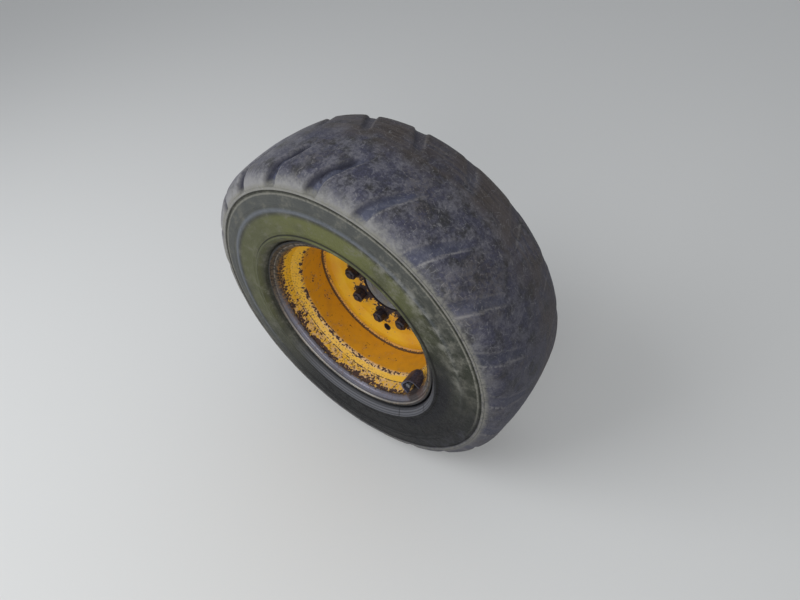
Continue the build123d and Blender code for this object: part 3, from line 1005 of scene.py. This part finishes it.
# Painted highlight: the crest of the moulded ring is lighter and bluer, most of all on the upper side.
ring = radius.band(296, 304, 4)
side = rubber.mix(side, ring_highlight_blue, ring * (0.05 + high_side * 0.6) * fine.step(0.2, 0.5))
streak = radius.band(284, 306, 16) * rubber.facing(angle, 33).step(0.75, 0.97)
streak = streak * rubber.noise(22, 5, 0.66).step(0.4, 0.64)
side = rubber.mix(side, streak_pale, streak * 0.68)
rubber.so_far("moss and dust")

# %% Sidewall: painted shade on the foot, and pale rubber beside the lip
foot_shade_black = (0.009, 0.009, 0.012)
low_dust_grey = (0.06, 0.06, 0.075)
lip_grey = (0.13, 0.133, 0.15)

# Painted shade: the sidewall darkens towards its foot and its lower right.
foot_shade = rubber.facing(angle, -28).step(0.55, 0.95) * radius.falls(262, 306)
foot_shade = foot_shade.larger(low_side * (0.75 + cloudy * 0.25))
side = rubber.mix(side, foot_shade_black, foot_shade * 0.95)
low_dust = rubber.facing(angle, -36).step(0.85, 0.99) * radius.step(300, 335)
low_dust = low_dust * cloudy.step(0.45, 0.65)
side = rubber.mix(side, low_dust_grey, low_dust * 0.5)
lip_band = radius.band(lip_radius + 5, rib_radius - 2, 1)
lip_lines = (radius * 1.6).sine().step(0.0, 0.8)
side = rubber.mix(side, lip_grey, lip_band * low_side * (1 - lip_lines * 0.6) * 0.85)
rubber.so_far("wet foot")

# %% Sidewall: the lines that the mould left, and painted shade in the creases
edge_pale = (0.2, 0.195, 0.17)
tick_black = (0.012, 0.012, 0.014)
crease_shade_black = (0.016, 0.016, 0.015)
mould_ticks = (math.radians(-57), math.radians(-30.5))
tick_half = 0.006

edge_line = radius.band(ledge_radius - 11, ledge_radius - 7.5, 1.2) * fine.step(0.3, 0.5)
side = rubber.mix(side, edge_pale, edge_line * (1 - low_side) * 0.75)
for tick in mould_ticks:
    mark = angle.band(tick - tick_half, tick + tick_half, 0.002)
    mark = mark * radius.band(lip_radius + 5, rib_radius + 3, 1)
    side = rubber.mix(side, tick_black, mark * 0.8)
# Painted shade: dark lines along the creases beside the rib and below the ledge.
rib_crease = radius.band(rib_radius + 3.2, rib_radius + 5.6, 0.7)
lip_crease = radius.band(rib_radius - 2, rib_radius - 0.8, 0.4)
ledge_crease = radius.band(ledge_radius - 5.2, ledge_radius - 3.2, 0.6) * fine.step(0.36, 0.52)
crease_shade = rib_crease.larger(lip_crease * 0.7).larger(ledge_crease * 0.6)
side = rubber.mix(side, crease_shade_black, crease_shade * 0.85)
rubber.so_far("mould lines")

# %% Tread: grey and blue rubber, scuffed all over
tread_grey = (0.046, 0.045, 0.045)
tread_blue = (0.07, 0.07, 0.106)
cloud_grey = (0.115, 0.112, 0.138)
mottle_dark = (0.03, 0.03, 0.038)
pit_dark = (0.026, 0.026, 0.034)
scuff_pale = (0.19, 0.186, 0.212)

hues = rubber.noise(33, 4, 0.6)
tread = rubber.mix(tread_grey, tread_blue, hues.step(0.36, 0.58))
tread = rubber.mix(tread, cloud_grey, cloudy.step(0.4, 0.64) * 0.65)
mottle = rubber.noise(10, 4, 0.7).step(0.42, 0.58)
tread = rubber.mix(tread, mottle_dark, (1 - mottle) * 0.22)
tread = rubber.mix(tread, pit_dark, (1 - specks) * 0.4)
scuffs = (fine * 0.5 + cloudy * 0.5).step(0.44, 0.64)
tread = rubber.mix(tread, scuff_pale, scuffs * (0.52 + fresh * 0.12))
rubber.so_far("tread greys")

# %% Tread: mud on the inboard half, and a painted shadow across its top
mud_brown = (0.085, 0.07, 0.062)
far_shadow_brown = (0.042, 0.033, 0.03)
rubbed_brown = (0.12, 0.1, 0.09)

inboard_mud = station.step(middle - 30, middle + 50) * broad.step(0.4, 0.6) * 0.6
mud = inboard_mud.larger(broad.step(0.52, 0.64) * fine.step(0.4, 0.62) * 0.45)
tread = rubber.mix(tread, mud_brown, mud)
# Partly mud, partly painted shadow: the inboard tread darkens at the top of the wheel.
far_mud_and_shadow = station.step(middle - 10, middle + 60) * rubber.facing(angle, 92).step(0.6, 0.97)
tread = rubber.mix(tread, far_shadow_brown, far_mud_and_shadow * (0.4 + broad.step(0.4, 0.6) * 0.4))
tread_lines = rubber.streaks(station, angle, width=7.0, turns=4.0)
rubbing_and_sheen = station.step(middle - 10, middle + 55) * tread_lines.step(0.42, 0.6)
tread = rubber.mix(tread, rubbed_brown, rubbing_and_sheen * 0.4)
rubber.so_far("mud")

# %% Tread: groove floors, dusty lug ends, and painted light on the upper-left lugs
floor_blue = (0.075, 0.084, 0.13)
lug_dust = (0.225, 0.225, 0.2)
fresh_dust = (0.29, 0.285, 0.285)
left_dust_and_light = (0.27, 0.265, 0.275)

on_floor = rubber.own("groove_floor")
tread = rubber.mix(tread, floor_blue, on_floor * (0.3 + fresh * 0.35))
lug_end = radius.falls(ledge_radius + 2, ledge_radius + 36) * (1 - on_floor)
dust = (fine * 0.6 + cloudy * 0.4).step(0.35, 0.66)
tread = rubber.mix(tread, lug_dust, lug_end * dust * (0.5 + fresh * 0.5 - low_side * 0.25))
tread = rubber.mix(tread, fresh_dust, fresh * lug_end * (0.5 + cloudy * 0.5))
# Partly dust, partly painted light: the lugs on the upper left of the wheel are lighter.
left_lugs = rubber.facing(angle, 138).step(0.8, 0.97) * (1 - on_floor)
tread = rubber.mix(tread, left_dust_and_light, left_lugs * (0.2 + dust * 0.45))
rubber.so_far("floors and lug ends")

# %% Tread: scratches, rubbed edges, and painted shade in the groove corners and the lower right
scratch_pale = (0.23, 0.225, 0.23)
rubbed_pale = (0.29, 0.28, 0.28)
corner_dark = (0.03, 0.03, 0.045)
low_dark = (0.022, 0.022, 0.034)

scratches = rubber.edges(17).falls(0.006, 0.026) * fine.step(0.46, 0.56)
tread = rubber.mix(tread, scratch_pale, scratches * 0.6)
edge_wear = rubber.own("lug_edge") * fine.step(0.34, 0.54)
tread = rubber.mix(tread, rubbed_pale, edge_wear * 0.65)
# Painted shade in the corners of the grooves, under the wall that leans over them.
corner_shade = (rubber.own("groove_shade") * 1.1).smaller(0.85)
tread = rubber.mix(tread, corner_dark, corner_shade)
# Painted shade: the tread darkens towards the foot and the lower right of the wheel.
tread_shade = low_side.larger(rubber.facing(angle, -25).step(0.3, 0.95))
tread = rubber.mix(tread, low_dark, tread_shade * 0.4)
rubber.so_far("scratches and corners")

# %% Tread and sidewall joined at the ledge
shoulder_pale = (0.2, 0.195, 0.168)
shoulder_line = (0.03, 0.03, 0.03)

shoulder_dust = radius.band(ledge_radius - 2, ledge_radius + 9, 5)
shoulder_dust = shoulder_dust * (0.45 + fine.step(0.35, 0.6) * 0.55)
tread = rubber.mix(tread, shoulder_pale, shoulder_dust * (0.85 - low_side * 0.35))
second_line = radius.band(ledge_radius + 3.4, ledge_radius + 4.6, 0.5) * (1 - fresh * 0.7)
tread = rubber.mix(tread, shoulder_line, second_line * 0.6)

colour = rubber.mix(side, tread, radius.step(ledge_radius - 2.4, ledge_radius - 1.4))
height = grain * 0.25 + fine * 0.9 + cloudy * 0.7 + specks * 0.2
roughness = 0.48 + scuffs * 0.22 + side_dust * 0.1
relief = rubber.bump(height, distance=1.2)
casing.data.materials.append(rubber.surface(colour, roughness, normal=relief, specular=0.13))

# %% [markdown]
# Chipped yellow paint
#
# The rim was sprayed yellow over a pink-brown primer. Where the bead and its lip have worked on
# it the paint is gone: the lips are bare and dark, the seats are chipped, and a row of chips runs
# along the edge of the well. A chip has a rim of primer and a heart of rust. Both come from one
# wear value: just under the level where paint fails it turns to primer, and just over it to rust.
# Painting the chips by hand would put each where it is wanted, but not on the next wheel.

# %% Chips
paint_bright = (0.65, 0.37, 0.012)
paint_plain = (0.58, 0.27, 0.012)
paint_dull = (0.44, 0.2, 0.02)
primer = (0.55, 0.37, 0.22)
rust_dark = (0.026, 0.013, 0.011)
rust_brown = (0.1, 0.045, 0.03)


def chipped(finish, colour, wear, tiny, primer_share):
    """Paint worn through where wear is past 0.64: first an edge of primer, then rust."""
    colour = finish.mix(colour, primer, wear.step(0.59, 0.62) * primer_share)
    chips = wear.step(0.635, 0.65)
    rust = finish.mix(rust_dark, rust_brown, tiny.step(0.4, 0.65) * 0.7)
    return finish.mix(colour, rust, chips), chips


# %% Rim: where the paint wears
valve_angle = math.radians(-40)

rim_paint = WheelFinish("rim_paint")
radius, station, angle = rim_paint.round_axle()
broad = rim_paint.noise(60, 3)
cloudy = rim_paint.noise(19, 3)
fine = rim_paint.noise(6.5, 4, 0.6)
tiny = rim_paint.noise(1.5, 3)
from_lip = station.smaller(rim_width - station)
low_side = rim_paint.facing(angle, -100).step(-0.1, 0.8)
high_side = rim_paint.facing(angle, 150).step(0.3, 0.9)
left_side = rim_paint.facing(angle, 215).step(0.0, 0.8)
in_well = from_lip.step(well_station - 4, well_station + 1)
well_edge = from_lip.band(well_station - 8, well_station + 0.5, 1.5)
seat = from_lip.band(20, slope_station, 3)
paint_end = from_lip.band(17, 27, 3)
rim_paint.so_far("bands")

# %% Rim: paint, primer and chips
colour = rim_paint.mix(paint_bright, paint_plain, in_well * 0.85 + broad * 0.3)
colour = rim_paint.mix(colour, paint_dull, in_well * cloudy.step(0.4, 0.7) * 0.5)
rubbing_and_sheen = rim_paint.noise(9, 4, 0.6) + (well_edge * 0.16 + seat * 0.06) * low_side
to_primer = rubbing_and_sheen.step(0.54, 0.6) * well_edge.larger(seat) * low_side
colour = rim_paint.mix(colour, primer, to_primer * 0.62)
wear = fine * 0.62 + cloudy * 0.38 + well_edge * (0.1 + low_side * 0.04)
wear = wear + seat * (0.03 + low_side * 0.06) + paint_end * 0.1 + in_well * high_side * 0.03
colour, chips = chipped(rim_paint, colour, wear, tiny, primer_share=0.3)
rim_paint.so_far("paint and chips")

# %% Rim: small dark spots, and rust along the bend and the weld
spatter = rim_paint.noise(3.6, 3).step(0.575, 0.6) * from_lip.step(19, 23)
spatter = spatter * (1 - in_well) * fine.step(0.36, 0.5)
well_spots = rim_paint.noise(7, 3).step(0.68, 0.69) * in_well
colour = rim_paint.mix(colour, rust_dark, spatter.larger(well_spots) * left_side * 0.92)
bend_line = from_lip.band(slope_station - 2, slope_station, 0.5)
bend_line = bend_line * fine.step(0.38, 0.5) * low_side
weld_edge = (station + fine * 5).band(disc_station - 6, disc_station - 4.5, 0.4)
weld_edge = weld_edge * fine.step(0.3, 0.42)
chips = chips.larger(bend_line).larger(weld_edge * 0.9)
colour = rim_paint.mix(colour, rust_dark, bend_line.larger(weld_edge) * 0.9)
rim_paint.so_far("spots and rust lines")

# %% Rim: the bare lip, with a painted bluish sheen towards the foot
bare_dark = (0.014, 0.01, 0.007)
bare_brown = (0.085, 0.06, 0.032)
lip_sheen_blue = (0.19, 0.19, 0.245)
stain_brown = (0.07, 0.036, 0.028)
ring_dark = (0.012, 0.012, 0.018)

bare = (from_lip + fine * 22).falls(29, 31.5)
lip = rim_paint.mix(bare_dark, bare_brown, fine.step(0.38, 0.6))
# Painted reflection: a bluish sheen on the bare lip towards the foot of the wheel.
lip_sheen = low_side * from_lip.band(4, 16, 3) * (0.55 + cloudy * 0.45)
lip = rim_paint.mix(lip, lip_sheen_blue, lip_sheen)
at_valve = (angle + fine * 0.12).band(valve_angle - 0.03, valve_angle + 0.34, 0.05)
at_valve = at_valve * station.falls(44, 58)
stained = (at_valve * 0.9).larger(fine.step(0.54, 0.62) * 0.5)
lip = rim_paint.mix(lip, stain_brown, stained * 0.85)
dark_ring = radius.band(lip_radius - 9.8, lip_radius - 8.4, 0.5) * low_side
lip = rim_paint.mix(lip, ring_dark, dark_ring * 0.9)
paint_left = from_lip.step(7, 14) * (fine * 0.6 + tiny * 0.4).step(0.48, 0.54)
lip = rim_paint.mix(lip, paint_dull, paint_left * (1 - low_side) * 0.68)
paint_limit = (from_lip + fine * 22).band(27.5, 31, 0.8)
lip = rim_paint.mix(lip, rust_dark, paint_limit * 0.85)
colour = rim_paint.mix(colour, lip, bare)
rim_paint.so_far("bare lip")

# %% Rim: stains at the valve, shade under the guard, painted highlights and a dark line along the lip
valve_rust = (0.045, 0.024, 0.02)
guard_shade = (0.02, 0.015, 0.016)
lip_highlight = (0.4, 0.39, 0.37)
tyre_line = (0.024, 0.024, 0.026)

colour = rim_paint.mix(colour, valve_rust, at_valve * (0.35 + fine.step(0.38, 0.52) * 0.6))
under_guard = angle.band(valve_angle - 0.085, valve_angle + 0.1, 0.02) * station.falls(60, 66)
colour = rim_paint.mix(colour, guard_shade, under_guard * 0.85)
# Painted highlights: thin light lines on the lip, at its root away from the foot and near its edge at the
# foot.
root_line = radius.band(lip_radius - 12, lip_radius - 10.5, 0.6) * (1 - low_side)
root_line = root_line * 0.3 * fine.step(0.4, 0.5)
lip_line = radius.band(lip_radius - 7.2, lip_radius - 5.6, 0.6) * low_side
colour = rim_paint.mix(colour, lip_highlight, root_line.larger(lip_line * 0.6))
against_tyre = radius.step(lip_radius - 4.5, lip_radius - 3)
colour = rim_paint.mix(colour, tyre_line, against_tyre * 0.9)

metallic = bare * (0.15 + low_side * 0.4) * (1 - stained) * (1 - dark_ring)
roughness = 0.4 + fine * 0.12 + chips * 0.35 + bare * (0.3 - low_side * 0.36)
relief = rim_paint.bump(0.7 - chips * 0.6 + fine * 0.15 - bare * 0.2, distance=0.4)
barrel.data.materials.append(rim_paint.surface(colour, roughness, metallic, relief))

# %% [markdown]
# The disc's paint
#
# The disc has kept its paint, apart from where steel meets steel: grease and rust spread out from
# each nut, from the centre bore and from the small hole beside it. The distance from the nearest
# of eight studs is found by folding the angle into one eighth, which costs five nodes. Eight
# separate distances would do the same with forty.


# %% How far the nearest stud is
def stud_distance(radius, angle):
    """Distance from the nearest wheel stud, in millimetres."""
    share = 2 * math.pi / stud_count
    turned = angle.maths("PINGPONG", angle - stud_first, share / 2)
    across = turned.sine() * radius
    along = turned.cosine() * radius - stud_circle
    return (across * across + along * along) ** 0.5


def dress(node, material):
    """Gives a CAD node its finish."""
    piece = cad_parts[node]
    piece.data.materials.clear()
    piece.data.materials.append(material)


# %% Disc: wear round nuts, bore and hole
bore_radius = 62.0
hole_radius = 8.0
hole_circle = 131.0
hole_place = placed(hole_circle, disc_station, math.radians(264))
grease_black = (0.012, 0.008, 0.011)

disc_paint = WheelFinish("disc_paint")
radius, station, angle = disc_paint.round_axle()
broad = disc_paint.noise(60, 3)
cloudy = disc_paint.noise(14, 3)
fine = disc_paint.noise(6.5, 3, 0.6)
tiny = disc_paint.noise(1.5, 3)
from_stud = stud_distance(radius, angle)
from_hole = disc_paint.near(hole_place)
at_nuts = from_stud.falls(17, 22) * 0.25 + from_stud.falls(22, 40) * 0.13
at_bore = radius.falls(bore_radius + 0.5, bore_radius + 3) * 0.2
at_bore = at_bore + radius.falls(bore_radius + 2, bore_radius + 24) * 0.12
at_hole = from_hole.falls(hole_radius + 0.5, hole_radius + 3) * 0.4
wear = fine * 0.6 + cloudy * 0.4 + at_nuts + at_bore + at_hole
disc_paint.so_far("wear")

# %% Disc: paint, chips, and duller paint towards the weld
colour = disc_paint.mix(paint_bright, paint_plain, broad.step(0.3, 0.7))
colour, chips = chipped(disc_paint, colour, wear, tiny, primer_share=0.25)
colour = disc_paint.mix(colour, grease_black, chips * 0.85)
weld_side_dulling = radius.step(disc_radius - 12, disc_radius - 7) * fine.step(0.4, 0.65)
colour = disc_paint.mix(colour, paint_dull, weld_side_dulling * 0.5)
roughness = 0.4 + fine * 0.12 + chips * 0.2
relief = disc_paint.bump(0.7 - chips * 0.6 + fine * 0.15, distance=0.4)
dress("wheel_disc", disc_paint.surface(colour, roughness, normal=relief))

# %% [markdown]
# The weld's paint
#
# Paint runs thin over a rough bead. On this one it is dull all over, carries a painted pinkish
# highlight along the crest on the lower right of the wheel, and is gone in a rusty line where the
# bead meets the barrel. The same chips as on the rim would be too large for a bead of 7 mm, so it
# has a finer noise.

# %% Weld: dull paint, a painted highlight on the crest and a rusty foot
crest_highlight_pink = (0.5, 0.33, 0.23)

weld_paint = WheelFinish("weld_paint")
radius, station, angle = weld_paint.round_axle()
fine = weld_paint.noise(4, 4, 0.6)
cloudy = weld_paint.noise(30, 3)
low_side = weld_paint.facing(angle, -50).step(0.6, 0.95)
colour = weld_paint.mix(paint_plain, paint_dull, fine.step(0.4, 0.6))
# Painted highlight: a pinkish light line along the crest, on the lower right of the wheel.
crest_highlight = radius.band(disc_radius - 5.4, disc_radius - 3.6, 0.6) * fine.step(0.42, 0.56)
colour = weld_paint.mix(colour, crest_highlight_pink, crest_highlight * low_side * 0.5)
rusty_foot = (radius + fine * 7).step(disc_radius + 0.9, disc_radius + 1.7)
rusty_spots = (fine * 0.6 + cloudy * 0.4 - low_side * 0.08).step(0.56, 0.59)
rust = rusty_foot.larger(rusty_spots)
colour = weld_paint.mix(colour, rust_dark, rust * 0.9)
relief = weld_paint.bump(fine, distance=0.3)
weld.data.materials.append(weld_paint.surface(colour, 0.5 + rust * 0.25, normal=relief))

# %% [markdown]
# Bare, greasy and cast metals
#
# Nuts, studs, valve, shaft, bearings and housing are all metal with something on it: grease,
# grime, a film of oil or rust. One function makes them: two shades of the metal itself, patches of
# a third colour, and a fine grain. What differs is in one table, so that the metals can be
# compared at a glance. A separate material for each would repeat the same ten lines.


# %% One function for all metals
def metal(name, dark, light, patch, patch_size, roughness, metallic, bump_height):
    """A worn metal, with patches of another colour where dirt or rust has taken hold."""
    finish = WheelFinish(name)
    cloudy = finish.noise(patch_size, 4)
    fine = finish.noise(3.5, 5, 0.6)
    grain = finish.noise(0.9, 2)
    colour = finish.mix(dark, light, fine.step(0.35, 0.7))
    patches = (cloudy * 0.7 + fine * 0.3).step(0.5, 0.62)
    colour = finish.mix(colour, patch, patches)
    rough = roughness + patches * 0.2 + grain * 0.1
    shine = metallic - patches * metallic * 0.8 if metallic else 0.0
    relief = finish.bump(fine * 0.7 + grain * 0.5, bump_height)
    return finish.surface(colour, rough, shine, relief)


metals = [
    # name, dark, light, patch, patch size, roughness, metallic, bump height
    ("greasy_steel", (0.006, 0.005, 0.009), (0.03, 0.023, 0.034), (0.055, 0.025, 0.015), 9, 0.42, 0.15, 0.4),
    ("cast_iron", (0.04, 0.038, 0.037), (0.09, 0.083, 0.078), (0.12, 0.075, 0.045), 30, 0.62, 0.2, 0.8),
    ("machined_steel", (0.28, 0.28, 0.29), (0.46, 0.46, 0.47), (0.2, 0.16, 0.12), 40, 0.3, 0.9, 0.05),
    ("bearing_steel", (0.42, 0.42, 0.43), (0.56, 0.56, 0.57), (0.3, 0.27, 0.2), 50, 0.2, 0.95, 0.02),
    ("hub_grey", (0.12, 0.125, 0.135), (0.2, 0.205, 0.215), (0.15, 0.14, 0.12), 25, 0.5, 0.3, 0.15),
    ("valve_grey", (0.07, 0.075, 0.085), (0.16, 0.165, 0.18), (0.04, 0.03, 0.026), 7, 0.4, 0.4, 0.1),
    ("seal_rubber", (0.015, 0.015, 0.016), (0.03, 0.03, 0.032), (0.07, 0.06, 0.045), 18, 0.7, 0.0, 0.2),
]
finishes = {row[0]: metal(*row) for row in metals}

# %% [markdown]
# The valve's guard
#
# The guard is a bent strip over the valve. Its flank that looks towards the foot of the wheel has a
# painted bluish highlight, and the rest is nearly black. It needs one mask that the function for
# metals doesn't have, the angle past the valve, so it is made by itself.

# %% The guard
guard_black = (0.011, 0.011, 0.022)
guard_grey = (0.045, 0.041, 0.066)
guard_sheen_blue = (0.11, 0.115, 0.175)

guard_steel = WheelFinish("guard_steel")
angle = guard_steel.round_axle()[2]
fine = guard_steel.noise(4, 4, 0.6)
# Painted highlight: a bluish sheen on the guard's flank that looks towards the foot of the wheel.
rubbing_and_sheen = angle.falls(valve_angle - 0.05, valve_angle) * fine.step(0.3, 0.5)
colour = guard_steel.mix(guard_black, guard_grey, fine.step(0.42, 0.62))
colour = guard_steel.mix(colour, guard_sheen_blue, rubbing_and_sheen * 0.7)
relief = guard_steel.bump(fine, distance=0.3)
dress("valve_guard", guard_steel.surface(colour, 0.5 - rubbing_and_sheen * 0.12, rubbing_and_sheen * 0.3, relief))

# %% Each metal on its pieces
for piece in fasteners:
    piece.data.materials.clear()
    piece.data.materials.append(finishes["greasy_steel"])
dressed_nodes = {
    "valve_stem": "valve_grey",
    "valve_cap": "valve_grey",
    "axle_shaft": "hub_grey",
    "bearing_nut": "machined_steel",
    "oil_seal": "seal_rubber",
    "axle_housing": "cast_iron",
}
for end in ("outer", "inner"):
    for race in ("cup", "cone", "rollers"):
        dressed_nodes[f"{end}_bearing_{race}"] = "bearing_steel"
for node, finish_name in dressed_nodes.items():
    dress(node, finishes[finish_name])
print(f"{len(fasteners)} nuts and studs and {len(dressed_nodes)} CAD nodes dressed in metal")
